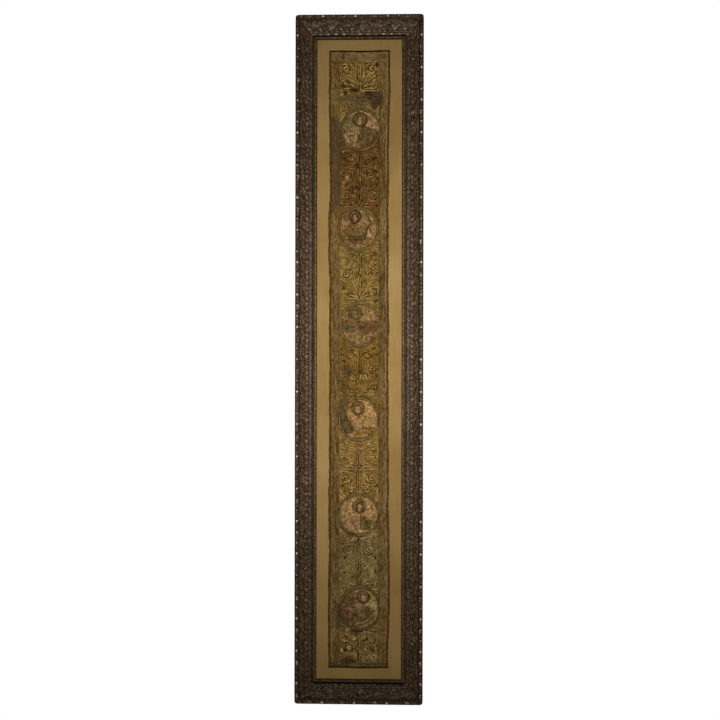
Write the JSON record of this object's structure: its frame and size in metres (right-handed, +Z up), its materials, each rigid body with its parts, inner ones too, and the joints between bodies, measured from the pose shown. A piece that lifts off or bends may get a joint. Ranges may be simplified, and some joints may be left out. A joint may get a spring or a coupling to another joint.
{
  "type": "framed embroidered panel",
  "caption": "Tall narrow wall panel: an old gold and silk embroidered band with applied roundels, laid on a cloth-covered board in a deep carved-looking bronzed frame.",
  "frame": {"origin": "middle of the top rail's back face, where the frame meets the wall that holds it", "axes": "+Z up along the frame's length, +Y into the wall, +X to the right as seen from the front, so the front faces -Y"},
  "size_m": [0.341, 0.0526, 1.833],
  "materials": {
    "bronzed_composition": "bronzed gesso and composition over wood, worn to a low shine on the high points",
    "back_board": "plain pressed fibre board, matt",
    "mount_board": "plain card board, matt",
    "mount_cloth": "fine plain-woven ochre cloth, matt",
    "dark_edge_cloth": "dark brown cloth, matt",
    "gold_embroidery": "couched gilt thread, tarnished, with a soft metallic glint",
    "worn_galloon": "lengthwise woven braid, worn and matt",
    "silk_roundel": "faded silk stitching, satin where it is whole",
    "couched_cord": "narrow flat braid with a pale couched cord along its middle, matt"
  },
  "bodies": {
    "root": {"frame_left": "bronzed_composition", "frame_right": "bronzed_composition", "frame_top": "bronzed_composition", "frame_bottom": "bronzed_composition", "back_board": "back_board", "mount_board": "mount_board", "mount_cloth": "mount_cloth", "band_backing": "dark_edge_cloth", "band_ground": "gold_embroidery", "braid_left": "worn_galloon", "braid_right": "worn_galloon", "braid_top": "worn_galloon", "braid_bottom": "worn_galloon", "roundel_1": "silk_roundel", "roundel_2": "silk_roundel", "roundel_3": "silk_roundel", "roundel_4": "silk_roundel", "roundel_5": "silk_roundel", "roundel_6": "silk_roundel", "roundel_ring_1": "couched_cord", "roundel_ring_2": "couched_cord", "roundel_ring_3": "couched_cord", "roundel_ring_4": "couched_cord", "roundel_ring_5": "couched_cord", "roundel_ring_6": "couched_cord"}
  },
  "joints": []
}
